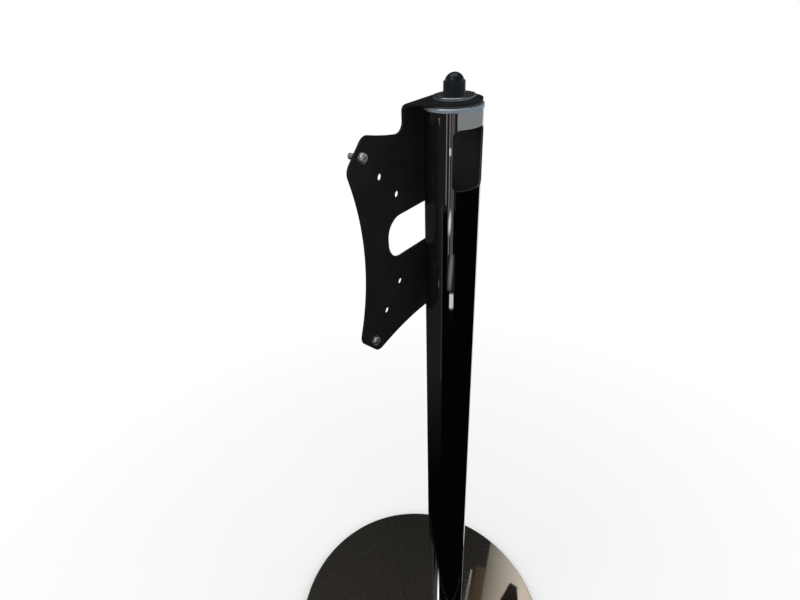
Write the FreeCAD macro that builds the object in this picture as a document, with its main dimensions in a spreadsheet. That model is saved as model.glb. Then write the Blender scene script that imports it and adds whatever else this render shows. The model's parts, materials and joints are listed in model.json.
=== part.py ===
import FreeCAD, Part
import os
from math import atan2

import Sketcher
from FreeCAD import Vector

# Floor stand: a round base disc, a tube column set back from its centre, and a bent sheet mount
# that swivels on the column's top.
# Millimetres, +Z up. The origin is on the floor under the centre of the base disc.
# -Y is the way the mount faces at rest. The stand's own front is turned from it by stand_turn.

document = FreeCAD.newDocument("screen_stand")

# Driving dimensions: alias, value, what it is
SIZES = [
    ("base_dia", 500, "base disc, diameter"),
    ("base_thick", 10, "base disc, thickness"),
    ("base_edge", 1.5, "base disc, radius of its edges"),
    ("pad_dia", 30, "rubber pad, diameter"),
    ("pad_thick", 3, "rubber pad, thickness"),
    ("pad_circle", 440, "circle that the pads stand on, diameter"),
    ("pad_count", 6, "number of pads"),
    ("column_offset", 88, "column axis behind the disc's centre"),
    ("stand_turn", 19, "degrees from the mount's front to the stand's own front"),
    ("column_dia", 57, "column tube, outside diameter"),
    ("column_wall", 2, "column tube, wall"),
    ("column_height", 1066.7, "from the disc's top face to the top of the column"),
    ("window_width", 37, "cable window, width"),
    ("window_height", 59, "cable window, height"),
    ("window_drop", 19, "top of the column to the window's upper edge"),
    ("window_corner", 6, "cable window, corner radius"),
    ("outlet_width", 30, "cable outlet at the foot, width"),
    ("outlet_height", 34, "cable outlet, height"),
    ("outlet_rise", 20, "disc's top face to the outlet's lower edge"),
    ("outlet_corner", 6, "cable outlet, corner radius"),
    ("plug_height", 14, "foot plug, height"),
    ("foot_screw_dia", 8, "foot screw, thread"),
    ("foot_head_dia", 16, "foot screw, countersunk head"),
    ("foot_head_sink", 0.5, "foot screw's head below the disc's underside"),
    ("foot_screw_grip", 11, "length of thread in the foot plug"),
    ("foot_screw_circle", 32, "circle of the foot screws, diameter"),
    ("foot_screw_count", 3, "number of foot screws"),
    ("foot_key", 5, "foot screw's hex socket, across flats"),
    ("foot_key_depth", 2.5, "foot screw's hex socket, depth"),
    ("cap_head", 3.5, "column cap, height above the tube"),
    ("cap_edge", 1, "column cap, radius of its upper edge"),
    ("spigot_length", 14, "column cap, length inside the tube"),
    ("bolt_dia", 8, "pivot bolt, thread"),
    ("bolt_key", 13, "pivot bolt's head, across flats"),
    ("bolt_head", 5.3, "pivot bolt's head, height"),
    ("bolt_tip", 2, "pivot bolt above the lock nut"),
    ("bolt_chamfer", 0.8, "pivot bolt, chamfer of its tip"),
    ("bolt_washer_dia", 18, "washer under the bolt's head, diameter"),
    ("bolt_washer_thick", 1.6, "washer under the bolt's head, thickness"),
    ("lower_ring_dia", 52, "lower slide ring, diameter"),
    ("lower_ring_thick", 1.8, "lower slide ring, thickness"),
    ("upper_ring_dia", 37, "upper slide ring, diameter"),
    ("upper_ring_thick", 0.5, "upper slide ring, thickness"),
    ("top_washer_dia", 40, "large washer, diameter"),
    ("top_washer_thick", 3, "large washer, thickness"),
    ("top_washer_chamfer", 0.4, "large washer, chamfer of its upper edge"),
    ("nut_key", 13, "lock nut, across flats"),
    ("nut_hex", 5.5, "lock nut, height of its hexagon"),
    ("nut_collar", 2.5, "lock nut, height of its collar"),
    ("nut_collar_dia", 12, "lock nut, diameter of its collar"),
    ("nut_collar_wall", 0.8, "lock nut, wall of its collar"),
    ("dome_base_dia", 20.8, "dome cap, diameter at its foot"),
    ("dome_skirt_dia", 20.6, "dome cap, diameter at the top of its skirt"),
    ("dome_skirt", 12, "dome cap, height of its skirt"),
    ("dome_radius", 9.4, "dome cap, radius of its dome"),
    ("dome_sink", 1.8, "dome cap, centre of its dome below the top of its skirt"),
    ("bush_dia", 12, "pivot bush, outside diameter"),
    ("sheet_thick", 2.5, "mount, thickness of its sheet"),
    ("bend_radius", 5, "mount, inside radius of its bend"),
    ("arm_end_dia", 54, "mount, round end of the arm"),
    ("tongue_width", 72, "mount, width of the tongue and the bend"),
    ("plate_gap", 33, "column axis to the plate's rear face"),
    ("tongue_length", 11.2, "top of the column to the level of the plate's upper corners"),
    ("side_margin", 20, "outer screw holes to the plate's sides"),
    ("end_margin", 19, "outer screw holes to the plate's upper and lower ends"),
    ("corner_cut_width", 26, "slanted cut at the plate's corners, width"),
    ("corner_cut_height", 27, "slanted cut at the plate's corners, height"),
    ("side_waist", 17, "plate, depth of its hollow sides"),
    ("end_waist", 14, "plate, depth of its hollow ends"),
    ("plate_corner", 12, "plate, radius of its outer corners"),
    ("tongue_flare", 10, "radius between the plate's upper end and the tongue"),
    ("opening_width", 134, "plate's opening, width"),
    ("opening_height", 46, "plate's opening, height"),
    ("opening_corner", 20, "plate's opening, corner radius"),
    ("opening_rise", 4, "plate's opening, its centre above the plate's centre"),
    ("outer_pitch", 200, "side of the outer square of screw holes"),
    ("middle_pitch", 150, "side of the middle square"),
    ("inner_pitch", 100, "side of the inner square"),
    ("plate_hole", 7, "screw holes in the plate, diameter"),
    ("corner_screw_dia", 6, "corner screw, thread"),
    ("corner_screw_reach", 12, "corner screw, length in front of the plate"),
    ("corner_neck_dia", 5.2, "corner screw, plain neck through the washer and the plate, diameter"),
    ("corner_head_dia", 10.2, "corner screw, head"),
    ("corner_head", 3.5, "corner screw, height of its head"),
    ("corner_head_rim", 1.3, "corner screw, straight rim of its head"),
    ("corner_head_top", 5.4, "corner screw, flat on top of its head, diameter"),
    ("cross_span", 4.8, "corner screw, length of its cross recess"),
    ("cross_slot", 1.2, "corner screw, width of its cross recess"),
    ("cross_depth", 1.9, "corner screw, depth of its cross recess"),
    ("corner_washer_dia", 10.6, "corner washer, diameter"),
    ("corner_washer_thick", 1.2, "corner washer, thickness"),
    ("fit_gap", 0.02, "gap all round a fitted piece"),
    ("run_gap", 0.05, "gap all round the bolt in its turning bush"),
    ("hole_gap", 0.25, "gap all round a screw in a plain hole"),
]

sizes = document.addObject("Spreadsheet::Sheet", "sizes")
for row, (alias, value, note) in enumerate(SIZES, start=1):
    sizes.set(f"A{row}", note)
    sizes.set(f"B{row}", str(value))
    sizes.setAlias(f"B{row}", alias)
document.recompute()

# Places that several pieces share
DECK = "(sizes.pad_thick + sizes.base_thick)"
COLUMN_TOP = f"({DECK} + sizes.column_height)"
TUBE_LENGTH = "(sizes.column_height - sizes.cap_head)"
AXIS_X = "(sizes.column_offset * sin(sizes.stand_turn * 1 deg))"
AXIS_Y = "(sizes.column_offset * cos(sizes.stand_turn * 1 deg))"
TUBE_BORE = "(sizes.column_dia - 2 * sizes.column_wall)"
PLUG_DIA = f"({TUBE_BORE} - 2 * sizes.fit_gap)"
FOOT_HOLE = "(sizes.foot_screw_dia + 2 * sizes.hole_gap)"
THREAD_HOLE = "(sizes.foot_screw_dia + 2 * sizes.fit_gap)"
BOLT_HOLE = "(sizes.bolt_dia + 2 * sizes.fit_gap)"
RING_HOLE = "(sizes.bolt_dia + 2 * sizes.hole_gap)"
ARM_TOP = "(sizes.lower_ring_thick + sizes.sheet_thick)"
WASHER_SEAT = f"({ARM_TOP} + sizes.upper_ring_thick)"
NUT_SEAT = f"({WASHER_SEAT} + sizes.top_washer_thick)"
NUT_HEIGHT = "(sizes.nut_hex + sizes.nut_collar)"
INSERT_DIA = "(sizes.nut_collar_dia - 2 * sizes.nut_collar_wall)"
PLATE_WIDTH = "(sizes.outer_pitch + 2 * sizes.side_margin)"
PLATE_HEIGHT = "(sizes.outer_pitch + 2 * sizes.end_margin)"
PLATE_DROP = f"(sizes.tongue_length + {PLATE_HEIGHT} / 2)"


def amount(expression):
    """The value of an expression in millimetres, degrees or plain numbers."""
    value = sizes.evalExpression(str(expression))
    return float(getattr(value, "Value", value))


def place(item, x="0", y="0", z="0", turn=None):
    """Ties a piece's place, and its turn about +Z in degrees, to the sheet."""
    for letter, expression in zip("xyz", (x, y, z)):
        item.setExpression(f"Placement.Base.{letter}", f"({expression}) * 1 mm")
    if turn is not None:
        item.setExpression("Placement.Rotation.Angle", f"({turn}) * 1 deg")


def new_body(name):
    body = document.addObject("PartDesign::Body", name)
    body.Label = name
    return body


def new_sketch(body, role, name, height=None):
    """A sketch on one of the body's own planes, moved along its normal by height."""
    sketch = body.newObject("Sketcher::SketchObject", f"{body.Name}_{name}")
    plane = next(item for item in body.Origin.OriginFeatures if item.Role == role)
    sketch.AttachmentSupport = [(plane, "")]
    sketch.MapMode = "FlatFace"
    if height is not None:
        sketch.setExpression("AttachmentOffset.Base.z", f"({height}) * 1 mm")
    return sketch


def tie(sketch, constraint, expression):
    sketch.setExpression(f"Constraints[{constraint}]", f"{expression}")


def pin(sketch, item, end, x, y):
    """Ties one point of a sketch to the expressions x and y."""
    origin, h_axis, v_axis = -1, -1, -2
    for kind, axis, expression in (("DistanceX", v_axis, x), ("DistanceY", h_axis, y)):
        if abs(amount(expression)) < 1e-9:
            sketch.addConstraint(Sketcher.Constraint("PointOnObject", item, end, axis))
        else:
            distance = Sketcher.Constraint(kind, origin, 1, item, end, amount(expression))
            tie(sketch, sketch.addConstraint(distance), expression)


def add_circle(sketch, diameter, x="0", y="0"):
    centre = Vector(amount(x), amount(y), 0)
    radius = amount(f"{diameter} / 2")
    item = sketch.addGeometry(Part.Circle(centre, Vector(0, 0, 1), radius))
    pin(sketch, item, 3, x, y)
    constraint = sketch.addConstraint(Sketcher.Constraint("Radius", item, radius))
    tie(sketch, constraint, f"{diameter} / 2")


def add_outline(sketch, corners):
    """A closed outline. A corner is (x, y), or (x, y, radius, centre x, centre y) for an arc to the next."""
    points = [Vector(amount(corner[0]), amount(corner[1]), 0) for corner in corners]
    ends = []
    for index, corner in enumerate(corners):
        start = points[index]
        stop = points[(index + 1) % len(points)]
        if len(corner) == 2:
            item = sketch.addGeometry(Part.LineSegment(start, stop))
            ends.append((item, 1, 2))
            continue
        centre = Vector(amount(corner[3]), amount(corner[4]), 0)
        arm_in = start - centre
        arm_out = stop - centre
        circle = Part.Circle(centre, Vector(0, 0, 1), amount(corner[2]))
        turns_left = arm_in.cross(arm_out).z > 0
        first, last = (arm_in, arm_out) if turns_left else (arm_out, arm_in)
        arc = Part.ArcOfCircle(circle, atan2(first.y, first.x), atan2(last.y, last.x))
        item = sketch.addGeometry(arc)
        ends.append((item, 1, 2) if turns_left else (item, 2, 1))
    for index, (item, _, tail) in enumerate(ends):
        follower, head, _ = ends[(index + 1) % len(ends)]
        sketch.addConstraint(Sketcher.Constraint("Coincident", item, tail, follower, head))
    for (item, head, _), corner in zip(ends, corners):
        pin(sketch, item, head, corner[0], corner[1])
        if len(corner) > 2:
            radius = Sketcher.Constraint("Radius", item, amount(corner[2]))
            tie(sketch, sketch.addConstraint(radius), corner[2])


def add_hexagon(sketch, across_flats):
    corners = []
    for index in range(6):
        reach = f"{across_flats} / sqrt(3)"
        corners.append((f"{reach} * cos({60 * index} deg)", f"{reach} * sin({60 * index} deg)"))
    add_outline(sketch, corners)


def add_rounded_box(sketch, width, low, high, corner):
    """A rectangle about the sketch's upright axis, from low to high, with rounded corners."""
    side = f"({width} / 2)"
    inner = f"({width} / 2 - {corner})"
    add_outline(sketch, [
        (f"-{inner}", low),
        (inner, low, corner, inner, f"{low} + {corner}"),
        (side, f"{low} + {corner}"),
        (side, f"{high} - {corner}", corner, inner, f"{high} - {corner}"),
        (inner, high),
        (f"-{inner}", high, corner, f"-{inner}", f"{high} - {corner}"),
        (f"-{side}", f"{high} - {corner}"),
        (f"-{side}", f"{low} + {corner}", corner, f"-{inner}", f"{low} + {corner}"),
    ])


def pad(body, sketch, length, reverse=False, symmetric=False):
    feature = body.newObject("PartDesign::Pad", f"{sketch.Name}_pad")
    feature.Profile = sketch
    feature.setExpression("Length", f"({length}) * 1 mm")
    feature.Reversed = reverse
    feature.Midplane = symmetric
    document.recompute()
    return feature


def pocket(body, sketch, length=None, reverse=False):
    """A cut of the given length, or right through. It has to take material away."""
    before = body.Shape.Volume
    feature = body.newObject("PartDesign::Pocket", f"{sketch.Name}_pocket")
    feature.Profile = sketch
    feature.Reversed = reverse
    if length is None:
        feature.Type = "ThroughAll"
    else:
        feature.setExpression("Length", f"({length}) * 1 mm")
    document.recompute()
    if not body.Shape.Volume < before:
        raise RuntimeError(f"{feature.Name} cuts nothing")
    return feature


def revolve(body, sketch):
    feature = body.newObject("PartDesign::Revolution", f"{sketch.Name}_turned")
    feature.Profile = sketch
    feature.ReferenceAxis = (sketch, ["V_Axis"])
    feature.Angle = 360
    document.recompute()
    return feature


def soften(body, kind, name, size, wanted):
    """A Fillet or Chamfer on the edges of the body's last feature that wanted() picks."""
    base = body.Tip
    names = [f"Edge{i}" for i, edge in enumerate(base.Shape.Edges, start=1) if wanted(edge)]
    if not names:
        raise RuntimeError(f"{body.Name}: no edge for {name}")
    feature = body.newObject(f"PartDesign::{kind}", f"{body.Name}_{name}")
    feature.Base = (base, names)
    feature.setExpression("Radius" if kind == "Fillet" else "Size", f"({size}) * 1 mm")
    document.recompute()
    return feature


def is_circle(edge, diameter, z=None):
    """Tells whether an edge is a whole level circle of this diameter, at height z if one is given."""
    if not (isinstance(edge.Curve, Part.Circle) and edge.isClosed()):
        return False
    fits = abs(2 * edge.Curve.Radius - amount(diameter)) < 1e-6
    return fits and (z is None or abs(edge.Curve.Center.z - amount(z)) < 1e-6)


def is_near(edge, along, points):
    """Tells whether a straight edge along a direction passes through one of the points."""
    if not isinstance(edge.Curve, Part.Line):
        return False
    if edge.Curve.Direction.cross(along).Length > 1e-6:
        return False
    return any((edge.Curve.value(edge.Curve.parameter(point)) - point).Length < 1e-4 for point in points)


def group(name, members):
    """One node of several equal pieces."""
    compound = document.addObject("Part::Compound", name)
    compound.Label = name
    compound.Links = members
    return compound


def make_ring(name, outside, inside, thick):
    body = new_body(name)
    sketch = new_sketch(body, "XY_Plane", "ring")
    add_circle(sketch, outside)
    add_circle(sketch, inside)
    pad(body, sketch, thick)
    return body


def foot_screw_place(index):
    """A foot screw's centre about the column axis, in the stand's own directions."""
    angle = f"({index} * 360 / sizes.foot_screw_count + 90) * 1 deg"
    reach = "sizes.foot_screw_circle / 2"
    return f"{reach} * cos({angle})", f"{reach} * sin({angle})"


def place_on_axis(item, z, turned=False):
    """Sets a piece on the column axis, turned with the stand where that matters."""
    place(item, AXIS_X, AXIS_Y, z, "-sizes.stand_turn" if turned else None)


def make_base_disc():
    body = new_body("base_disc")
    disc = new_sketch(body, "XY_Plane", "disc")
    add_circle(disc, "sizes.base_dia")
    pad(body, disc, "sizes.base_thick")
    soften(body, "Fillet", "edge", "sizes.base_edge", lambda edge: is_circle(edge, "sizes.base_dia"))
    holes = new_sketch(body, "XY_Plane", "holes")
    for index in range(foot_screw_count):
        x, y = foot_screw_place(index)
        add_circle(holes, FOOT_HOLE, x, f"sizes.column_offset + {y}")
    pocket(body, holes, reverse=True)
    sink = f"(sizes.foot_head_dia - {FOOT_HOLE}) / 2 + sizes.foot_head_sink + sizes.fit_gap"
    soften(body, "Chamfer", "sinks", sink, lambda edge: is_circle(edge, FOOT_HOLE, "0"))
    place(body, z="sizes.pad_thick", turn="-sizes.stand_turn")
    return body


def make_base_pads():
    pads = []
    for index in range(pad_count):
        item = document.addObject("Part::Cylinder", f"base_pad_{index + 1}")
        item.setExpression("Radius", "sizes.pad_dia / 2 * 1 mm")
        item.setExpression("Height", "sizes.pad_thick * 1 mm")
        angle = f"({index} * 360 / sizes.pad_count) * 1 deg"
        place(item, f"sizes.pad_circle / 2 * cos({angle})", f"sizes.pad_circle / 2 * sin({angle})")
        pads.append(item)
    return group("base_pads", pads)


def make_foot_plug():
    body = new_body("foot_plug")
    plug = new_sketch(body, "XY_Plane", "plug")
    add_circle(plug, PLUG_DIA)
    for index in range(foot_screw_count):
        add_circle(plug, THREAD_HOLE, *foot_screw_place(index))
    pad(body, plug, "sizes.plug_height")
    place_on_axis(body, DECK, turned=True)
    return body


def make_foot_screws():
    """Countersunk screws, heads down, sunk a little below the disc's underside."""
    screws = []
    thread = "sizes.foot_screw_dia / 2"
    head = "sizes.foot_head_dia / 2"
    length = "(sizes.base_thick - sizes.foot_head_sink + sizes.foot_screw_grip)"
    for index in range(foot_screw_count):
        body = new_body(f"foot_screw_{index + 1}")
        profile = new_sketch(body, "XZ_Plane", "profile")
        add_outline(profile, [
            ("0", "0"),
            (head, "0"),
            (thread, f"{head} - {thread}"),
            (thread, length),
            ("0", length),
        ])
        revolve(body, profile)
        socket = new_sketch(body, "XY_Plane", "socket")
        add_hexagon(socket, "sizes.foot_key")
        pocket(body, socket, "sizes.foot_key_depth", reverse=True)
        x, y = foot_screw_place(index)
        turn = "sizes.stand_turn * 1 deg"
        place(
            body,
            f"{AXIS_X} + {x} * cos({turn}) + {y} * sin({turn})",
            f"{AXIS_Y} - {x} * sin({turn}) + {y} * cos({turn})",
            "sizes.pad_thick + sizes.foot_head_sink",
        )
        screws.append(body)
    return group("foot_screws", screws)


def make_column_tube():
    """The tube, with the cable window and the cable outlet in its rear side, +Y."""
    body = new_body("column_tube")
    ring = new_sketch(body, "XY_Plane", "ring")
    add_circle(ring, "sizes.column_dia")
    add_circle(ring, TUBE_BORE)
    pad(body, ring, TUBE_LENGTH)
    window_top = "(sizes.column_height - sizes.window_drop)"
    window = new_sketch(body, "XZ_Plane", "window")
    add_rounded_box(window, "sizes.window_width", f"({window_top} - sizes.window_height)",
                    window_top, "sizes.window_corner")
    pocket(body, window)
    outlet = new_sketch(body, "XZ_Plane", "outlet")
    add_rounded_box(outlet, "sizes.outlet_width", "sizes.outlet_rise",
                    "(sizes.outlet_rise + sizes.outlet_height)", "sizes.outlet_corner")
    pocket(body, outlet)
    place_on_axis(body, DECK, turned=True)
    return body


def make_column_cap():
    """The turned cap: a rounded head as wide as the tube, and a spigot that fits in it."""
    body = new_body("column_cap")
    hole = f"{BOLT_HOLE} / 2"
    head = "sizes.column_dia / 2"
    crown = "(sizes.column_dia / 2 - sizes.cap_edge)"
    shoulder = "(sizes.cap_head - sizes.cap_edge)"
    profile = new_sketch(body, "XZ_Plane", "profile")
    add_outline(profile, [
        (hole, "-sizes.spigot_length"),
        (f"{PLUG_DIA} / 2", "-sizes.spigot_length"),
        (f"{PLUG_DIA} / 2", "0"),
        (head, "0"),
        (head, shoulder, "sizes.cap_edge", crown, shoulder),
        (crown, "sizes.cap_head"),
        (hole, "sizes.cap_head"),
    ])
    revolve(body, profile)
    place_on_axis(body, f"{COLUMN_TOP} - sizes.cap_head")
    return body


def make_pivot_bolt():
    """The pivot bolt, head down inside the tube, thread up through the whole stack."""
    body = new_body("pivot_bolt")
    length = f"(sizes.bolt_washer_thick + sizes.spigot_length + sizes.cap_head + {NUT_SEAT}" \
             f" + {NUT_HEIGHT} + sizes.bolt_tip)"
    head = new_sketch(body, "XY_Plane", "head")
    add_hexagon(head, "sizes.bolt_key")
    pad(body, head, "sizes.bolt_head", reverse=True)
    shank = new_sketch(body, "XY_Plane", "shank")
    add_circle(shank, "sizes.bolt_dia")
    pad(body, shank, length)
    soften(body, "Chamfer", "tip", "sizes.bolt_chamfer",
           lambda edge: is_circle(edge, "sizes.bolt_dia", length))
    place_on_axis(body, f"{COLUMN_TOP} - sizes.cap_head - sizes.spigot_length - sizes.bolt_washer_thick")
    return body


def make_bolt_washer():
    body = make_ring("bolt_washer", "sizes.bolt_washer_dia", RING_HOLE, "sizes.bolt_washer_thick")
    place_on_axis(body, f"{COLUMN_TOP} - sizes.cap_head - sizes.spigot_length - sizes.bolt_washer_thick")
    return body


def make_slide_rings():
    """The plastic rings that the arm turns between."""
    lower = make_ring("lower_slide_ring", "sizes.lower_ring_dia", RING_HOLE, "sizes.lower_ring_thick")
    place_on_axis(lower, COLUMN_TOP)
    upper = make_ring("upper_slide_ring", "sizes.upper_ring_dia", RING_HOLE, "sizes.upper_ring_thick")
    place_on_axis(upper, f"{COLUMN_TOP} + {ARM_TOP}")
    return [lower, upper]


def make_top_washer():
    body = make_ring("top_washer", "sizes.top_washer_dia", RING_HOLE, "sizes.top_washer_thick")
    soften(body, "Chamfer", "rim", "sizes.top_washer_chamfer",
           lambda edge: is_circle(edge, "sizes.top_washer_dia", "sizes.top_washer_thick"))
    place_on_axis(body, f"{COLUMN_TOP} + {WASHER_SEAT}")
    return body


def make_lock_nut():
    """The lock nut: a hexagon with a thin collar, and the plastic ring held in the collar."""
    body = new_body("lock_nut")
    hexagon = new_sketch(body, "XY_Plane", "hexagon")
    add_hexagon(hexagon, "sizes.nut_key")
    add_circle(hexagon, BOLT_HOLE)
    pad(body, hexagon, "sizes.nut_hex")
    collar = new_sketch(body, "XY_Plane", "collar", "sizes.nut_hex")
    add_circle(collar, "sizes.nut_collar_dia")
    add_circle(collar, INSERT_DIA)
    pad(body, collar, "sizes.nut_collar")
    place_on_axis(body, f"{COLUMN_TOP} + {NUT_SEAT}")
    insert = make_ring("lock_nut_insert", f"({INSERT_DIA} - 2 * sizes.fit_gap)", BOLT_HOLE,
                       "sizes.nut_collar")
    place_on_axis(insert, f"{COLUMN_TOP} + {NUT_SEAT} + sizes.nut_hex")
    return [body, insert]


def make_dome_cap():
    """A hollow cap with a tapered skirt, a small ledge and a round dome."""
    body = new_body("dome_cap")
    hollow = "(sizes.nut_key / sqrt(3) + sizes.hole_gap)"
    centre = "(sizes.dome_skirt - sizes.dome_sink)"
    foot = "sqrt(sizes.dome_radius^2 - sizes.dome_sink^2)"
    profile = new_sketch(body, "XZ_Plane", "profile")
    add_outline(profile, [
        (hollow, "0"),
        ("sizes.dome_base_dia / 2", "0"),
        ("sizes.dome_skirt_dia / 2", "sizes.dome_skirt"),
        (foot, "sizes.dome_skirt", "sizes.dome_radius", "0", centre),
        ("0", f"{centre} + sizes.dome_radius"),
        ("0", f"{centre} + {hollow}", hollow, "0", centre),
        (hollow, centre),
    ])
    revolve(body, profile)
    place_on_axis(body, f"{COLUMN_TOP} + {NUT_SEAT}")
    return body


def plate_outline():
    """The waisted plate with its tongue, about the plate's centre, starting at the tongue's left root."""
    side = f"({PLATE_WIDTH} / 2)"
    end = f"({PLATE_HEIGHT} / 2)"
    side_corner = f"({end} - sizes.corner_cut_height)"
    end_corner = f"({side} - sizes.corner_cut_width)"
    tongue = "(sizes.tongue_width / 2)"
    side_radius = f"(({side_corner}^2 + sizes.side_waist^2) / (2 * sizes.side_waist))"
    end_radius = f"(({end_corner}^2 + sizes.end_waist^2) / (2 * sizes.end_waist))"
    side_centre = f"({side} - sizes.side_waist + {side_radius})"
    end_centre = f"({end} - sizes.end_waist + {end_radius})"
    root = f"({end_centre} - sqrt({end_radius}^2 - {tongue}^2))"
    tongue_top = f"({PLATE_DROP} + sizes.lower_ring_thick - sizes.bend_radius)"
    corners = [
        (f"-{tongue}", root),
        (f"-{tongue}", tongue_top),
        (tongue, tongue_top),
        (tongue, root, end_radius, "0", end_centre),
        (end_corner, end),
        (side, side_corner, side_radius, side_centre, "0"),
        (side, f"-{side_corner}"),
        (end_corner, f"-{end}", end_radius, "0", f"-{end_centre}"),
        (f"-{end_corner}", f"-{end}"),
        (f"-{side}", f"-{side_corner}", side_radius, f"-{side_centre}", "0"),
        (f"-{side}", side_corner),
        (f"-{end_corner}", end, end_radius, "0", end_centre),
    ]
    lowered = []
    for x, z, *arc in corners:
        if arc:
            arc = [arc[0], arc[1], f"{arc[2]} - {PLATE_DROP}"]
        lowered.append((x, f"{z} - {PLATE_DROP}", *arc))
    return lowered


def make_mount_plate():
    """The bent sheet. Its frame is on the column axis, at the top of the column."""
    body = new_body("mount_plate")
    corners = plate_outline()
    plate = new_sketch(body, "XZ_Plane", "plate", "sizes.plate_gap")
    add_outline(plate, corners)
    pad(body, plate, "sizes.sheet_thick")
    points = [Vector(amount(x), -amount("sizes.plate_gap"), amount(z)) for x, z, *_ in corners]
    across = Vector(0, 1, 0)
    roots = [points[0], points[3]]
    outer = points[4:]
    soften(body, "Fillet", "corners", "sizes.plate_corner", lambda edge: is_near(edge, across, outer))
    soften(body, "Fillet", "flares", "sizes.tongue_flare", lambda edge: is_near(edge, across, roots))

    # The bend, from the tongue's upper edge to the arm
    inside = "sizes.bend_radius"
    outside = "(sizes.bend_radius + sizes.sheet_thick)"
    centre_y = "(sizes.bend_radius - sizes.plate_gap)"
    centre_z = "(sizes.lower_ring_thick - sizes.bend_radius)"
    bend = new_sketch(body, "YZ_Plane", "bend")
    add_outline(bend, [
        (f"{centre_y} - {inside}", centre_z, inside, centre_y, centre_z),
        (centre_y, f"{centre_z} + {inside}"),
        (centre_y, f"{centre_z} + {outside}", outside, centre_y, centre_z),
        (f"{centre_y} - {outside}", centre_z),
    ])
    pad(body, bend, "sizes.tongue_width", symmetric=True)

    # The arm: straight sides that run on to its round end, which covers the column's top
    wide = "(sizes.tongue_width / 2)"
    arm_end = "(sizes.arm_end_dia / 2)"
    arm = new_sketch(body, "XY_Plane", "arm", "sizes.lower_ring_thick")
    add_outline(arm, [
        (f"-{wide}", centre_y),
        (wide, centre_y),
        (arm_end, "0", arm_end, "0", "0"),
        ("0", arm_end, arm_end, "0", "0"),
        (f"-{arm_end}", "0"),
    ])
    pad(body, arm, "sizes.sheet_thick")
    hub = new_sketch(body, "XY_Plane", "hub")
    add_circle(hub, "sizes.bush_dia")
    pocket(body, hub, reverse=True)

    opening_centre = f"(sizes.opening_rise - {PLATE_DROP})"
    opening = new_sketch(body, "XZ_Plane", "opening", "sizes.plate_gap")
    add_rounded_box(opening, "sizes.opening_width", f"({opening_centre} - sizes.opening_height / 2)",
                    f"({opening_centre} + sizes.opening_height / 2)", "sizes.opening_corner")
    pocket(body, opening, reverse=True)
    holes = new_sketch(body, "XZ_Plane", "holes", "sizes.plate_gap")
    for pitch in ("sizes.outer_pitch", "sizes.middle_pitch", "sizes.inner_pitch"):
        for x, z in square_places(pitch):
            add_circle(holes, "sizes.plate_hole", x, f"{z} - {PLATE_DROP}")
    pocket(body, holes, reverse=True)
    place_on_axis(body, COLUMN_TOP)
    return body


def square_places(pitch):
    """The four corners of a square of holes about the plate's centre."""
    places = []
    for side in ("-", ""):
        for level in ("-", ""):
            places.append((f"{side}{pitch} / 2", f"{level}{pitch} / 2"))
    return places


def make_pivot_bush():
    body = make_ring("pivot_bush", "(sizes.bush_dia - 2 * sizes.fit_gap)",
                     "(sizes.bolt_dia + 2 * sizes.run_gap)", "sizes.sheet_thick")
    place_on_axis(body, f"{COLUMN_TOP} + sizes.lower_ring_thick")
    return body


def face_forward(item, x, z, y):
    """Sets a corner piece on the plate's rear face, with its own +Z pointing to the rear."""
    item.Placement.Rotation = FreeCAD.Rotation(Vector(1, 0, 0), -90)
    rear = f"{AXIS_Y} - sizes.plate_gap + {y}"
    place(item, f"{AXIS_X} + {x}", rear, f"{COLUMN_TOP} - {PLATE_DROP} + {z}")


def make_corner_screw(index):
    """A pan-head screw with a cross recess. Its frame is at the underside of its head."""
    body = new_body(f"corner_screw_{index + 1}")
    thread = "sizes.corner_screw_dia / 2"
    head = "sizes.corner_head_dia / 2"
    flat = "sizes.corner_head_top / 2"
    neck = "sizes.corner_neck_dia / 2"
    grip = "(sizes.corner_washer_thick + sizes.sheet_thick)"
    length = f"({grip} + sizes.corner_screw_reach)"
    profile = new_sketch(body, "XZ_Plane", "profile")
    rise = "(sizes.corner_head - sizes.corner_head_rim)"
    run = f"({head} - {flat})"
    radius = f"(({rise}^2 + {run}^2) / (2 * {rise}))"
    add_outline(profile, [
        ("0", f"-{length}"),
        (thread, f"-{length}"),
        (thread, f"-{grip}"),
        (neck, f"-{grip}"),
        (neck, "0"),
        (head, "0"),
        (head, "sizes.corner_head_rim", radius, flat, f"sizes.corner_head - {radius}"),
        (flat, "sizes.corner_head"),
        ("0", "sizes.corner_head"),
    ])
    revolve(body, profile)
    cross = new_sketch(body, "XY_Plane", "cross", "sizes.corner_head")
    slot = "(sizes.cross_slot / 2)"
    span = "(sizes.cross_span / 2)"
    add_outline(cross, [
        (slot, slot), (slot, span), (f"-{slot}", span), (f"-{slot}", slot),
        (f"-{span}", slot), (f"-{span}", f"-{slot}"), (f"-{slot}", f"-{slot}"), (f"-{slot}", f"-{span}"),
        (slot, f"-{span}"), (slot, f"-{slot}"), (span, f"-{slot}"), (span, slot),
    ])
    pocket(body, cross, "sizes.cross_depth")
    return body


def make_corner_fasteners():
    screws = []
    washers = []
    for index, (x, z) in enumerate(square_places("sizes.outer_pitch")):
        screw = make_corner_screw(index)
        face_forward(screw, x, z, "sizes.corner_washer_thick")
        screws.append(screw)
        washer = make_ring(f"corner_washer_{index + 1}", "sizes.corner_washer_dia",
                           "(sizes.corner_screw_dia + 2 * sizes.hole_gap)", "sizes.corner_washer_thick")
        face_forward(washer, x, z, "0")
        washers.append(washer)
    return [group("corner_screws", screws), group("corner_washers", washers)]


pad_count = int(amount("sizes.pad_count"))
foot_screw_count = int(amount("sizes.foot_screw_count"))

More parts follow.
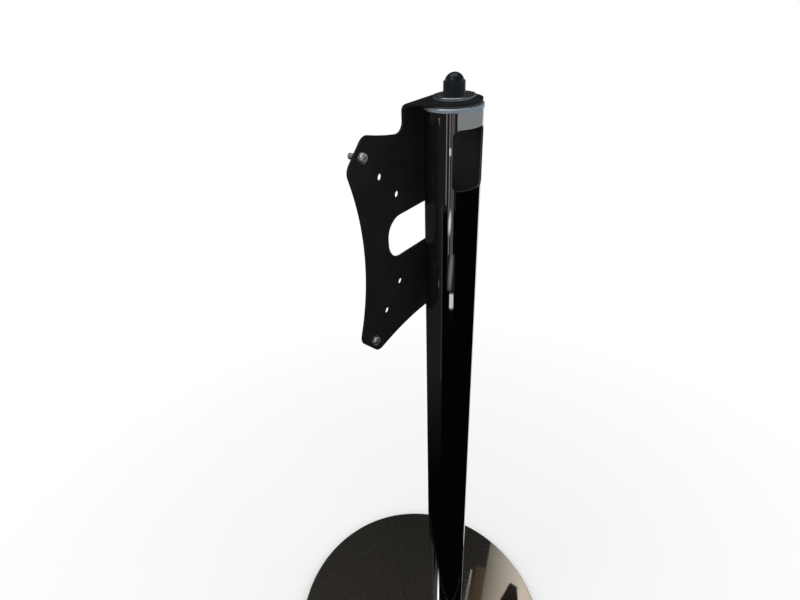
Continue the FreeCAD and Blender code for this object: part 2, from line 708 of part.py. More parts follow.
pieces = [
    make_base_disc(),
    make_base_pads(),
    make_foot_plug(),
    make_foot_screws(),
    make_column_tube(),
    make_column_cap(),
    make_pivot_bolt(),
    make_bolt_washer(),
    *make_slide_rings(),
    make_top_washer(),
    *make_lock_nut(),
    make_dome_cap(),
    make_mount_plate(),
    make_pivot_bush(),
    *make_corner_fasteners(),
]
document.recompute()

# Every object has to be sound before anything is written
for item in document.Objects:
    if "Invalid" in item.State or "Error" in item.State:
        raise RuntimeError(f"{item.Label} failed: {item.State}")
for piece in pieces:
    if piece.Shape.isNull() or not piece.Shape.isValid():
        raise RuntimeError(f"{piece.Label} has no sound shape")

os.makedirs("parts", exist_ok=True)
for piece in pieces:
    piece.Shape.exportStep(os.path.join("parts", f"{piece.Label}.step"))
    print(f"{piece.Label}: {len(piece.Shape.Solids)} solids, {piece.Shape.Volume / 1000:.2f} cm3")
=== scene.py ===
"""Dressed scene of a floor stand: a round polished base, a chromed column and a swivelling mount."""

import json
import logging
import math
from contextlib import contextmanager
from dataclasses import dataclass
from enum import Enum
from typing import Callable, Iterator

import bmesh
import bpy
from mathutils import Matrix, Vector


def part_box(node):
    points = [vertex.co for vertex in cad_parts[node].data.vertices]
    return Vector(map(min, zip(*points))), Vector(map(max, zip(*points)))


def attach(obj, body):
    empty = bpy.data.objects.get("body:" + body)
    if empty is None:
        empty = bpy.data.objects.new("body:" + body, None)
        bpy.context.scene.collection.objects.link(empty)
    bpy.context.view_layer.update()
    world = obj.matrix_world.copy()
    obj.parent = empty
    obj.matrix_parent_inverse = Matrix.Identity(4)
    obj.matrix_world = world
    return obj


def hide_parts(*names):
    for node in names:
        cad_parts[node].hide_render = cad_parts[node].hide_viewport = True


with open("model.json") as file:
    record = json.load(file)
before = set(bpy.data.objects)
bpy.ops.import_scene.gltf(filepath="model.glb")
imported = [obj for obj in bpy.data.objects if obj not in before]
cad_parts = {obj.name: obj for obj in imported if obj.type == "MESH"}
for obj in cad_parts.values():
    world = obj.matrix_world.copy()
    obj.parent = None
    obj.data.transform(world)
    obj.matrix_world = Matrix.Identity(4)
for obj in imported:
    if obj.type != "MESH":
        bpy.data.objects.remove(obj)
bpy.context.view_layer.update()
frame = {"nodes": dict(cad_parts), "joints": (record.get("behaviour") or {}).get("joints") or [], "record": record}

LOG = logging.getLogger("screen_stand")
MM = 0.001

Piece = bpy.types.Object
Socket = bpy.types.NodeSocket
Colour = tuple[float, float, float]
Place = tuple[float, float, float]
Span = tuple[float, float]

# The part of a noise that its patterns use: nearly all of it, or a little less
MOST: Span = (0.3, 0.75)
MIDDLE: Span = (0.3, 0.7)

# The height between cards that lie on each other, and the degrees between a round card's steps
CARD_GAP = 0.5 * MM
CARD_STEP = 5

# The colour sockets of a Mix node
MIX_FIRST, MIX_SECOND, MIX_RESULT = 6, 7, 2


class Body(Enum):
    """The two bodies that the swivel joins."""

    STAND = "stand"
    MOUNT = "mount"


class Slot(Enum):
    """The record's material slots."""

    POLISHED_BASE = "polished_base"
    CHROMED_TUBE = "chromed_tube"
    SATIN_CAP = "satin_cap"
    WASHER_STEEL = "washer_steel"
    ZINC_STEEL = "zinc_steel"
    NICKEL_SCREW = "nickel_screw"
    BLACK_POWDER = "black_powder"
    CAP_PLASTIC = "cap_plastic"
    SLIDE_PLASTIC = "slide_plastic"
    PAD_RUBBER = "pad_rubber"


class Pick(Enum):
    """What a selection in edit mode is made of."""

    VERT = "verts"
    EDGE = "edges"
    FACE = "faces"


# Bench: short ways to select, edit and finish one mesh


def only(piece: Piece) -> None:
    """Selects one object alone and makes it active.

    Args:
        piece: the object that the next operators act on.
    """
    bpy.ops.object.select_all(action="DESELECT")
    piece.select_set(True)
    bpy.context.view_layer.objects.active = piece


@contextmanager
def editing(piece: Piece) -> Iterator[None]:
    """Opens a piece in edit mode with nothing selected, and closes it afterwards.

    Args:
        piece: the object to edit.
    """
    only(piece)
    bpy.ops.object.mode_set(mode="EDIT")
    bpy.ops.mesh.select_all(action="DESELECT")
    yield
    bpy.ops.object.mode_set(mode="OBJECT")


def pick(piece: Piece, kind: Pick, wanted: Callable) -> None:
    """Selects the parts of a piece in edit mode that a test accepts, and nothing else.

    Args:
        piece: the object that is open in edit mode.
        kind: vertices, edges or faces.
        wanted: test of one bmesh vertex, edge or face.
    """
    bpy.ops.mesh.select_mode(type=kind.name)
    bpy.ops.mesh.select_all(action="DESELECT")
    mesh = bmesh.from_edit_mesh(piece.data)
    for part in getattr(mesh, kind.value):
        if wanted(part):
            part.select_set(True)
    bmesh.update_edit_mesh(piece.data)


def finish_with(piece: Piece, kind: str, **settings: object) -> None:
    """Adds a modifier to a piece, sets it and applies it.

    Args:
        piece: the object to change.
        kind: the modifier's type.
        settings: the modifier's properties by name.
    """
    only(piece)
    modifier = piece.modifiers.new(kind.title(), kind)
    for name, value in settings.items():
        setattr(modifier, name, value)
    bpy.ops.object.modifier_apply(modifier=modifier.name)


def combine(piece: Piece, tool: Piece, operation: str) -> None:
    """Joins a second solid to a piece or cuts it away, and removes the second solid.

    Args:
        piece: the object that stays.
        tool: the object that is used up.
        operation: UNION or DIFFERENCE.
    """
    finish_with(piece, "BOOLEAN", operation=operation, object=tool, solver="EXACT")
    bpy.data.objects.remove(tool, do_unlink=True)


def settle(piece: Piece) -> None:
    """Moves an object's place, turn and scale into its mesh.

    Args:
        piece: the object to settle at the origin.
    """
    only(piece)
    bpy.ops.object.transform_apply(location=True, rotation=True, scale=True)


def soften_edges(piece: Piece, width: float, angle: float = math.radians(30)) -> None:
    """Rounds the sharp edges of a piece and shades it smooth, with its wide faces left true.

    Args:
        piece: the object to soften.
        width: how far the rounding reaches from each edge.
        angle: the least angle of an edge that is rounded.
    """
    finish_with(piece, "BEVEL", width=width, segments=3, limit_method="ANGLE", angle_limit=angle)
    only(piece)
    bpy.ops.object.shade_smooth()
    finish_with(piece, "WEIGHTED_NORMAL", mode="FACE_AREA", weight=100, keep_sharp=False)


def new_block(name: str, size: Place, place: Place, turn: float = 0.0) -> Piece:
    """Adds a block as a start for a cut or a piece.

    Args:
        name: the object's name.
        size: its three sides.
        place: its centre.
        turn: its turn about the upright axis.

    Returns:
        The block, with its scale in its mesh and its place and turn still on the object.
    """
    bpy.ops.mesh.primitive_cube_add(size=1, location=place, rotation=(0, 0, turn))
    block = bpy.context.object
    block.name = name
    block.scale = size
    only(block)
    bpy.ops.object.transform_apply(location=False, rotation=False, scale=True)
    return block


# Finishes


class Graph:
    """The node tree of one new material, with short ways to add and join its nodes."""

    def __init__(self, name: str) -> None:
        """Starts a material with one shader, read on Object coordinates.

        Args:
            name: the material's name.
        """
        self.material = bpy.data.materials.new(name)
        self.material.use_nodes = True
        self.nodes = self.material.node_tree.nodes
        self.links = self.material.node_tree.links
        self.shader = self.nodes["Principled BSDF"]
        self.place = self.nodes.new("ShaderNodeTexCoord").outputs["Object"]

    def constant(self, **values: object) -> None:
        """Sets sockets of the shader that are the same all over, with _ for each space in their names."""
        for name, value in values.items():
            self.shader.inputs[name.replace("_", " ")].default_value = value

    def drive(self, name: str, source: Socket) -> None:
        """Joins a pattern to one socket of the shader."""
        self.links.new(source, self.shader.inputs[name])

    def stretched(self, source: Socket, share: Place) -> Socket:
        """Scales coordinates by axis.

        Args:
            source: the coordinates.
            share: the factor along each axis.

        Returns:
            The scaled coordinates.
        """
        node = self.nodes.new("ShaderNodeVectorMath")
        node.operation = "MULTIPLY"
        self.links.new(source, node.inputs[0])
        node.inputs[1].default_value = share
        return node.outputs["Vector"]

    def radius(self, axis: Vector) -> Socket:
        """Measures the distance from an upright axis.

        Args:
            axis: any point of the axis.

        Returns:
            The distance, in metres.
        """
        node = self.nodes.new("ShaderNodeVectorMath")
        node.operation = "DISTANCE"
        self.links.new(self.stretched(self.place, (1, 1, 0)), node.inputs[0])
        node.inputs[1].default_value = (axis.x, axis.y, 0)
        return node.outputs["Value"]

    def turned(self, axis: Vector) -> Socket:
        """Gives coordinates that are the same all round an upright axis, as a lathe leaves its marks.

        Args:
            axis: any point of the axis.

        Returns:
            Coordinates of radius and height.
        """
        split = self.nodes.new("ShaderNodeSeparateXYZ")
        self.links.new(self.place, split.inputs[0])
        joined = self.nodes.new("ShaderNodeCombineXYZ")
        self.links.new(self.radius(axis), joined.inputs["X"])
        self.links.new(split.outputs["Z"], joined.inputs["Z"])
        return joined.outputs["Vector"]

    def noise(self, per_metre: float, detail: float = 2.0, source: Socket | None = None) -> Socket:
        """Adds a noise pattern.

        Args:
            per_metre: how many cells it has to a metre.
            detail: how many finer layers it has.
            source: its coordinates, or None for the object's own.

        Returns:
            The noise, from 0 to 1.
        """
        node = self.nodes.new("ShaderNodeTexNoise")
        node.inputs["Scale"].default_value = per_metre
        node.inputs["Detail"].default_value = detail
        self.links.new(source or self.place, node.inputs["Vector"])
        return node.outputs["Fac"]

    def mapped(self, source: Socket, reads: Span, gives: Span) -> Socket:
        """Maps a range of a pattern to a range of values, and clamps it there.

        Args:
            source: the pattern.
            reads: the pattern's lowest and highest value that count.
            gives: what those become.

        Returns:
            The mapped pattern.
        """
        node = self.nodes.new("ShaderNodeMapRange")
        node.inputs["From Min"].default_value, node.inputs["From Max"].default_value = reads
        node.inputs["To Min"].default_value, node.inputs["To Max"].default_value = gives
        self.links.new(source, node.inputs["Value"])
        return node.outputs["Result"]

    def math(self, operation: str, first: object, second: object) -> Socket:
        """Combines two patterns, or a pattern and a number.

        Args:
            operation: the sum to do.
            first: a pattern or a number.
            second: a pattern or a number.

        Returns:
            The combined pattern.
        """
        node = self.nodes.new("ShaderNodeMath")
        node.operation = operation
        for socket, value in zip(node.inputs, (first, second)):
            if isinstance(value, Socket):
                self.links.new(value, socket)
            else:
                socket.default_value = value
        return node.outputs[0]

    def colours(self, source: Socket, reads: Span, first: Colour, second: Colour) -> Socket:
        """Turns a pattern into colours between two.

        Args:
            source: the pattern.
            reads: the pattern's values that give the two colours.
            first: the colour at the lower value.
            second: the colour at the higher value.

        Returns:
            The colours.
        """
        node = self.nodes.new("ShaderNodeValToRGB")
        for element, position, colour in zip(node.color_ramp.elements, reads, (first, second)):
            element.position = position
            element.color = (*colour, 1)
        self.links.new(source, node.inputs["Fac"])
        return node.outputs["Color"]

    def mixed(self, share: Socket, first: Socket, second: Socket) -> Socket:
        """Mixes two colours by a pattern.

        Args:
            share: how much of the second colour shows, from 0 to 1.
            first: the first colour.
            second: the second colour.

        Returns:
            The mixed colour.
        """
        node = self.nodes.new("ShaderNodeMix")
        node.data_type = "RGBA"
        self.links.new(share, node.inputs[0])
        self.links.new(first, node.inputs[MIX_FIRST])
        self.links.new(second, node.inputs[MIX_SECOND])
        return node.outputs[MIX_RESULT]

    def bump(self, height: Socket, distance: float) -> None:
        """Roughens the surface by a pattern.

        Args:
            height: the pattern.
            distance: how high the pattern's 1 stands, in metres.
        """
        node = self.nodes.new("ShaderNodeBump")
        node.inputs["Distance"].default_value = distance
        self.links.new(height, node.inputs["Height"])
        self.drive("Normal", node.outputs["Normal"])


def shaded(colour: Colour, share: float) -> Colour:
    """Makes a colour darker or lighter by one factor."""
    return tuple(channel * share for channel in colour)


@dataclass(frozen=True)
class MirrorSteel:
    """Mirror-polished plate with faint wiping haze, dust and a slightly uneven face."""

    name: str = "mirror_polished_plate"
    colour: Colour = (0.62, 0.62, 0.60)
    clear: float = 0.012
    hazy: float = 0.045
    dusty: float = 0.30
    haze_cells: float = 9
    haze_shade: float = 0.93
    haze_tint: Span = (0.35, 0.7)
    haze_range: Span = (0.42, 0.72)
    dust_cells: float = 1500
    dust_specks: Span = (0.80, 0.83)
    wave_cells: float = 7
    wave_height: float = 0.02 * MM

    def material(self) -> bpy.types.Material:
        """Builds the finish."""
        graph = Graph(self.name)
        graph.constant(Metallic=1.0)
        haze = graph.noise(self.haze_cells, 4)
        wiped_colour = shaded(self.colour, self.haze_shade)
        graph.drive("Base Color", graph.colours(haze, self.haze_tint, self.colour, wiped_colour))
        wiped = graph.mapped(haze, self.haze_range, (self.clear, self.hazy))
        dust = graph.mapped(graph.noise(self.dust_cells, 0), self.dust_specks, (0, self.dusty))
        graph.drive("Roughness", graph.math("ADD", wiped, dust))
        graph.bump(graph.noise(self.wave_cells, 1), self.wave_height)
        return graph.material


@dataclass(frozen=True)
class ChromePlate:
    """Bright chrome on a drawn tube, with dull bare steel on its inner wall."""

    axis: Vector
    inner_radius: float
    name: str = "bright_chrome_tube"
    colour: Colour = (0.66, 0.66, 0.67)
    bare: Colour = (0.050, 0.052, 0.046)
    clear: float = 0.018
    hazy: float = 0.06
    dull: float = 0.55
    skin: Span = (0.2 * MM, 0.8 * MM)
    haze_cells: float = 14
    haze_shade: float = 0.92
    haze_range: Span = (0.45, 0.75)
    haze_length: float = 0.35
    rust_cells: float = 70
    rust_shade: float = 0.8
    drawn_cells: float = 60
    drawn_length: float = 0.12
    drawn_height: float = 0.012 * MM

    def material(self) -> bpy.types.Material:
        """Builds the finish."""
        graph = Graph(self.name)
        outside = tuple(self.inner_radius + depth for depth in self.skin)
        plated = graph.mapped(graph.radius(self.axis), outside, (0, 1))
        graph.drive("Metallic", plated)
        haze = graph.noise(self.haze_cells, 4, graph.stretched(graph.place, (1, 1, self.haze_length)))
        rust = graph.noise(self.rust_cells, 4)
        chrome = graph.colours(haze, MOST, self.colour, shaded(self.colour, self.haze_shade))
        steel = graph.colours(rust, MIDDLE, self.bare, shaded(self.bare, self.rust_shade))
        graph.drive("Base Color", graph.mixed(plated, steel, chrome))
        wiped = graph.mapped(haze, self.haze_range, (self.clear, self.hazy))
        bared = graph.mapped(plated, (0, 1), (self.dull, 0))
        graph.drive("Roughness", graph.math("ADD", wiped, bared))
        drawn = graph.noise(self.drawn_cells, 2, graph.stretched(graph.place, (1, 1, self.drawn_length)))
        graph.bump(drawn, self.drawn_height)
        return graph.material


@dataclass(frozen=True)
class TurnedSteel:
    """Satin steel with the fine rings that a lathe leaves."""

    name: str
    colour: Colour
    axis: Vector
    smooth: float
    rough: float
    ring_cells: float = 2600
    ring_depth: float = 0.006 * MM
    stain_cells: float = 60
    stain_shade: float = 0.86

    def material(self) -> bpy.types.Material:
        """Builds the finish."""
        graph = Graph(self.name)
        graph.constant(Metallic=1.0)
        rings = graph.noise(self.ring_cells, 3, graph.turned(self.axis))
        stain = graph.noise(self.stain_cells, 3)
        stained = shaded(self.colour, self.stain_shade)
        graph.drive("Base Color", graph.colours(stain, MOST, self.colour, stained))
        graph.drive("Roughness", graph.mapped(rings, MIDDLE, (self.smooth, self.rough)))
        graph.bump(rings, self.ring_depth)
        return graph.material


@dataclass(frozen=True)
class PlatedSteel:
    """Plated small hardware with a slightly cloudy sheen."""

    name: str
    colour: Colour
    smooth: float
    rough: float
    cloud_cells: float = 320
    cloud_shade: float = 0.8
    grain_cells: float = 2400
    grain: float = 0.004 * MM

    def material(self) -> bpy.types.Material:
        """Builds the finish."""
        graph = Graph(self.name)
        graph.constant(Metallic=1.0)
        cloud = graph.noise(self.cloud_cells, 4)
        clouded = shaded(self.colour, self.cloud_shade)
        graph.drive("Base Color", graph.colours(cloud, MOST, self.colour, clouded))
        graph.drive("Roughness", graph.mapped(cloud, MOST, (self.smooth, self.rough)))
        graph.bump(graph.noise(self.grain_cells, 2), self.grain)
        return graph.material


@dataclass(frozen=True)
class PowderCoat:
    """Matte black powder coat with its fine grain."""

    name: str = "matte_black_powder_coat"
    colour: Colour = (0.0060, 0.0060, 0.0064)
    smooth: float = 0.42
    rough: float = 0.60
    shine: float = 0.10
    cloud_cells: float = 30
    cloud_shade: float = 1.5
    grain_cells: float = 1100
    grain: float = 0.035 * MM

    def material(self) -> bpy.types.Material:
        """Builds the finish."""
        graph = Graph(self.name)
        graph.constant(Metallic=0.0, Specular_IOR_Level=self.shine)
        cloud = graph.noise(self.cloud_cells, 4)
        grain = graph.noise(self.grain_cells, 3)
        clouded = shaded(self.colour, self.cloud_shade)
        graph.drive("Base Color", graph.colours(cloud, MIDDLE, self.colour, clouded))
        graph.drive("Roughness", graph.mapped(grain, MIDDLE, (self.smooth, self.rough)))
        graph.bump(grain, self.grain)
        return graph.material


@dataclass(frozen=True)
class MouldedPlastic:
    """Black moulded plastic or rubber with a fine skin."""

    name: str
    colour: Colour
    smooth: float = 0.30
    rough: float = 0.44
    shine: float = 0.5
    cloud_cells: float = 90
    cloud_shade: float = 1.35
    grain_cells: float = 1500
    grain: float = 0.010 * MM

    def material(self) -> bpy.types.Material:
        """Builds the finish."""
        graph = Graph(self.name)
        graph.constant(Metallic=0.0, Specular_IOR_Level=self.shine)
        skin = graph.noise(self.grain_cells, 2)
        cloud = graph.noise(self.cloud_cells, 3)
        clouded = shaded(self.colour, self.cloud_shade)
        graph.drive("Base Color", graph.colours(cloud, MIDDLE, self.colour, clouded))
        graph.drive("Roughness", graph.mapped(cloud, MIDDLE, (self.smooth, self.rough)))
        graph.bump(skin, self.grain)
        return graph.material


class Finishes:
    """The materials of the stand, one for each of the record's slots."""

    def __init__(self, axis: Vector, inner_radius: float) -> None:
        """Builds every finish.

        Args:
            axis: a point of the column's axis.
            inner_radius: the radius of the tube's bore.
        """
        # Painted shade: the washer's satin steel is given a much darker colour than the cap's, which stands in for
        # the dark surroundings that it mirrors
        blue_steel, shade_darkened_steel = (0.60, 0.70, 0.82), (0.32, 0.36, 0.41)
        zinc, nickel = (0.55, 0.56, 0.58), (0.66, 0.67, 0.68)
        soot, nylon, rubber = (0.0030, 0.0048, 0.0072), (0.030, 0.030, 0.030), (0.025, 0.025, 0.025)
        made = {
            Slot.POLISHED_BASE: MirrorSteel(),
            Slot.CHROMED_TUBE: ChromePlate(axis, inner_radius),
            Slot.SATIN_CAP: TurnedSteel("satin_turned_cap", blue_steel, axis, smooth=0.42, rough=0.58),
            Slot.WASHER_STEEL: TurnedSteel("satin_turned_washer", shade_darkened_steel, axis, smooth=0.2, rough=0.36),
            Slot.ZINC_STEEL: PlatedSteel("zinc_plated_steel", zinc, smooth=0.24, rough=0.45),
            Slot.NICKEL_SCREW: PlatedSteel("nickel_plated_screw", nickel, smooth=0.36, rough=0.5),
            Slot.BLACK_POWDER: PowderCoat(),
            Slot.CAP_PLASTIC: MouldedPlastic("satin_black_cap", soot, shine=0.24),
            Slot.SLIDE_PLASTIC: MouldedPlastic("black_nylon", nylon, smooth=0.4, rough=0.55),
            Slot.PAD_RUBBER: MouldedPlastic("black_rubber", rubber, smooth=0.6, rough=0.8, grain_cells=700),
        }
        self.materials = {slot: finish.material() for slot, finish in made.items()}

    def dress_node(self, node: str, slot: Slot) -> None:
        """Gives a CAD node its finish through its material slots."""
        for holder in frame["nodes"][node].material_slots:
            holder.material = self.materials[slot]

    def dress_piece(self, piece: Piece, slot: Slot) -> None:
        """Gives a new piece its finish."""
        piece.data.materials.clear()
        piece.data.materials.append(self.materials[slot])


# Sub-assemblies


def stands_for(piece: Piece, node: str, body: Body) -> None:
    """Lets a new piece take a CAD node's place and ride on its body.

    Args:
        piece: the new piece, settled at the origin.
        node: the CAD node that it replaces.
        body: the body that carries it.
    """
    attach(piece, body.value)
    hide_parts(node)
    LOG.info("%s rides on %s for %s: %d faces", piece.name, body.value, node, len(piece.data.polygons))


@dataclass
class RoundBase:
    """The heavy disc, its pads and what holds the column's foot."""

    finishes: Finishes

    def dress(self) -> None:
        """Gives the disc, the pads, the plug and its screws their finishes."""
        self.finishes.dress_node("base_disc", Slot.POLISHED_BASE)
        self.finishes.dress_node("base_pads", Slot.PAD_RUBBER)
        for node in ("foot_plug", "foot_screws"):
            self.finishes.dress_node(node, Slot.ZINC_STEEL)
        LOG.info("base dressed")


@dataclass
class Column:
    """The chromed tube with its cable window and cable outlet."""

    finishes: Finishes
    axis: Vector
    radius: float = 28.5 * MM
    wall: float = 2 * MM
    segments: int = 360
    turn: float = math.radians(-19)
    window: Span = (37 * MM, 59 * MM)
    window_top: float = 1060.7 * MM
    outlet: Span = (30 * MM, 34 * MM)
    outlet_top: float = 67 * MM
    corner: float = 6 * MM
    corner_steps: int = 10
    edge: float = 0.35 * MM

    def build(self) -> None:
        """Models the tube finely enough for mirror-like chrome, in place of its CAD node."""
        low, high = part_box("column_tube")
        bpy.ops.mesh.primitive_cylinder_add(
            vertices=self.segments,
            radius=self.radius,
            depth=high.z - low.z,
            end_fill_type="NOTHING",
            location=(self.axis.x, self.axis.y, (low.z + high.z) / 2),
        )
        tube = bpy.context.object
        tube.name = "column_shell"
        settle(tube)
        finish_with(tube, "SOLIDIFY", thickness=self.wall, offset=-1, use_even_offset=True)
        self.cut(tube, self.window, self.window_top)
        self.cut(tube, self.outlet, self.outlet_top)
        soften_edges(tube, self.edge)
        self.finishes.dress_piece(tube, Slot.CHROMED_TUBE)
        stands_for(tube, "column_tube", Body.STAND)

    def cut(self, tube: Piece, size: Span, top: float) -> None:
        """Cuts a rounded opening through the rear wall of the tube.

        Args:
            tube: the tube to cut.
            size: the opening's width and height.
            top: the height of its upper edge.
        """
        width, height = size
        facing = Matrix.Rotation(self.turn, 3, "Z") @ Vector((0, 1, 0))
        middle = self.axis + facing * self.radius
        place = (middle.x, middle.y, top - height / 2)
        tool = new_block("opening_tool", (width, 2 * self.radius, height), place, self.turn)
        with editing(tool):
            pick(tool, Pick.EDGE, lambda edge: abs((edge.verts[0].co - edge.verts[1].co).y) > self.radius)
            bpy.ops.mesh.bevel(offset=self.corner, segments=self.corner_steps, affect="EDGES")
        combine(tube, tool, "DIFFERENCE")


@dataclass
class SwivelStack:
    """The cap, rings, washer, bolt, nut and dome on the column's top."""

    finishes: Finishes

    def dress(self) -> None:
        """Gives each piece of the stack its finish."""
        finish_of = {
            "column_cap": Slot.SATIN_CAP,
            "top_washer": Slot.WASHER_STEEL,
            "dome_cap": Slot.CAP_PLASTIC,
            "pivot_bolt": Slot.ZINC_STEEL,
            "bolt_washer": Slot.ZINC_STEEL,
            "lock_nut": Slot.ZINC_STEEL,
            "lock_nut_insert": Slot.SLIDE_PLASTIC,
            "lower_slide_ring": Slot.SLIDE_PLASTIC,
            "upper_slide_ring": Slot.SLIDE_PLASTIC,
        }
        for node, slot in finish_of.items():
            self.finishes.dress_node(node, slot)
            LOG.info("%s dressed as %s", node, slot.value)


@dataclass
class MountSheet:
    """The bent black sheet: plate, tongue, bend and arm."""

    finishes: Finishes
    edge: float = 0.4 * MM
    weld: float = 0.002 * MM
    flat: float = math.radians(0.2)

    def build(self) -> None:
        """Rounds the cut edges of a copy of the sheet, as a powder coat leaves them."""
        sheet = bpy.data.objects.new("mount_sheet", frame["nodes"]["mount_plate"].data.copy())
        bpy.context.scene.collection.objects.link(sheet)
        with editing(sheet):
            bpy.ops.mesh.select_all(action="SELECT")
            bpy.ops.mesh.customdata_custom_splitnormals_clear()
            bpy.ops.mesh.remove_doubles(threshold=self.weld)
            bpy.ops.mesh.mark_sharp(clear=True)
            bpy.ops.mesh.dissolve_limited(angle_limit=self.flat)
        soften_edges(sheet, self.edge)
        self.finishes.dress_piece(sheet, Slot.BLACK_POWDER)
        stands_for(sheet, "mount_plate", Body.MOUNT)

    def dress(self) -> None:
        """Gives the bush in the arm its finish."""
        self.finishes.dress_node("pivot_bush", Slot.SLIDE_PLASTIC)


@dataclass
class ScreenScrews:
    """The four pan-head screws at the plate's corners, with cross recesses and cut threads."""

    finishes: Finishes
    head_radius: float = 5.1 * MM
    head_sides: int = 72
    head: float = 3.5 * MM
    crown: float = 2.2 * MM
    crown_steps: int = 9
    cross_span: float = 4.8 * MM
    cross_slot: float = 1.2 * MM
    cross_depth: float = 1.9 * MM
    cross_taper: Place = (0.5, 0.75, 1)
    neck_radius: float = 2.6 * MM
    neck_sides: int = 48
    neck: float = 3.7 * MM
    overlap: float = 0.5 * MM
    thread_radius: float = 3 * MM
    root_radius: float = 2.45 * MM
    pitch: float = 1 * MM
    crest: float = 0.14
    first_turn: float = 1.01
    reach: float = 12 * MM
    tip: float = 0.6 * MM
    tip_taper: Place = (0.78, 0.78, 1)
    steps: int = 40
    weld: float = 0.001 * MM
    edge: float = 0.1 * MM
    edge_angle: float = math.radians(50)
    turns: tuple[float, ...] = (0.35, 1.1, 0.8, 0.15)

    def build(self) -> None:
        """Models one screw, copies it to the four corners and joins the copies."""
        screw = self.model_head()
        combine(screw, self.model_neck(), "UNION")
        combine(screw, self.model_thread(), "UNION")
        soften_edges(screw, self.edge, self.edge_angle)
        copies = self.place_copies(screw)
        bpy.ops.object.select_all(action="DESELECT")
        for copy in copies:
            copy.select_set(True)
        bpy.context.view_layer.objects.active = copies[0]
        bpy.ops.object.join()
        screws = bpy.context.object
        screws.name = "corner_screws_cut"
        settle(screws)
        self.finishes.dress_piece(screws, Slot.NICKEL_SCREW)
        stands_for(screws, "corner_screws", Body.MOUNT)

    def dress(self) -> None:
        """Gives the washers under the heads their finish."""
        self.finishes.dress_node("corner_washers", Slot.NICKEL_SCREW)

    def model_head(self) -> Piece:
        """Models the pan head, standing on the origin, with its cross recess.

        Returns:
            The head.
        """
        bpy.ops.mesh.primitive_cylinder_add(
            vertices=self.head_sides,
            radius=self.head_radius,
            depth=self.head,
            location=(0, 0, self.head / 2),
        )
        head = bpy.context.object
        settle(head)
        with editing(head):
            pick(head, Pick.EDGE, lambda edge: min(vert.co.z for vert in edge.verts) > self.head / 2)
            bpy.ops.mesh.bevel(offset=self.crown, segments=self.crown_steps, affect="EDGES")
        for turn in (0, math.pi / 2):
            size = (self.cross_span, self.cross_slot, 2 * self.cross_depth)
            tool = new_block("cross_tool", size, (0, 0, self.head))
            with editing(tool):
                pick(tool, Pick.FACE, lambda face: face.normal.z < -0.5)
                bottom = (0, 0, self.head - self.cross_depth)
                bpy.ops.transform.resize(value=self.cross_taper, center_override=bottom)
            tool.rotation_euler.z = turn
            settle(tool)
            combine(head, tool, "DIFFERENCE")
        return head

    def model_neck(self) -> Piece:
        """Models the plain neck, from inside the head down to the thread.

        Returns:
            The neck.
        """
        length = self.neck + 2 * self.overlap
        bpy.ops.mesh.primitive_cylinder_add(
            vertices=self.neck_sides,
            radius=self.neck_radius,
            depth=length,
            location=(0, 0, self.overlap - length / 2),
        )
        neck = bpy.context.object
        settle(neck)
        return neck

    def model_thread(self) -> Piece:
        """Winds the thread's flank round the axis, trims both ends and points the tip.

        Returns:
            The threaded shank, below the neck.
        """
        middle = (self.root_radius + self.thread_radius) / 2
        bpy.ops.mesh.primitive_plane_add(
            size=1, location=(middle, 0, self.pitch / 2), rotation=(math.pi / 2, 0, 0)
        )
        thread = bpy.context.object
        thread.scale = (self.thread_radius - self.root_radius, self.pitch, 1)
        settle(thread)
        with editing(thread):
            pick(thread, Pick.EDGE, lambda edge: max(vert.co.x for vert in edge.verts) < middle)
            bpy.ops.mesh.delete(type="EDGE")
            pick(thread, Pick.VERT, lambda vert: vert.co.x > middle)
            crest = (self.thread_radius, 0, self.pitch / 2)
            bpy.ops.transform.resize(value=(1, 1, self.crest), center_override=crest)
        length = self.reach - self.tip
        finish_with(
            thread,
            "SCREW",
            axis="Z",
            angle=math.tau,
            screw_offset=self.pitch,
            iterations=math.ceil(length / self.pitch) + 2,
            steps=self.steps,
            render_steps=self.steps,
        )
        with editing(thread):
            bpy.ops.mesh.select_all(action="SELECT")
            bpy.ops.mesh.remove_doubles(threshold=self.weld)
            bottom = (0, 0, self.pitch * self.first_turn)
            bpy.ops.mesh.bisect(plane_co=bottom, plane_no=(0, 0, 1), use_fill=True, clear_inner=True)
            bpy.ops.mesh.select_all(action="SELECT")
            top = (0, 0, bottom[2] + length)
            bpy.ops.mesh.bisect(plane_co=top, plane_no=(0, 0, 1), use_fill=True, clear_outer=True)
            bpy.ops.mesh.select_all(action="SELECT")
            bpy.ops.mesh.normals_make_consistent(inside=False)
            pick(thread, Pick.FACE, lambda face: face.calc_center_median().z < bottom[2] + self.weld)
            bpy.ops.mesh.extrude_region_move(TRANSFORM_OT_translate={"value": (0, 0, -self.tip)})
            end = (0, 0, bottom[2] - self.tip)
            bpy.ops.transform.resize(value=self.tip_taper, center_override=end)
        thread.location.z = -(self.neck + self.reach) - end[2]
        settle(thread)
        return thread

    def place_copies(self, screw: Piece) -> list[Piece]:
        """Sets a copy of the screw in each corner of the record's outer square.

        Args:
            screw: the screw, standing on the origin with its head up.

        Returns:
            The four screws, in place.
        """
        square = next(mount for mount in frame["record"]["mounts"] if mount["name"] == "screen_studs_200")
        half = square["dims"]["spacing_x_mm"] * MM / 2
        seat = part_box("corner_washers")[1].y
        centre = Vector((square["pos_m"][0], seat, square["pos_m"][2]))
        corners = [(x, z) for x in (-half, half) for z in (-half, half)]
        copies = []
        for (x, z), turn in zip(corners, self.turns):
            copy = bpy.data.objects.new("corner_screw", screw.data.copy())
            bpy.context.scene.collection.objects.link(copy)
            lie_down = Matrix.Rotation(-math.pi / 2, 4, "X")
            place = Matrix.Translation(centre + Vector((x, 0, z)))
            copy.matrix_world = place @ lie_down @ Matrix.Rotation(turn, 4, "Z")
            copies.append(copy)
        bpy.data.objects.remove(screw, do_unlink=True)
        return copies


# Studio


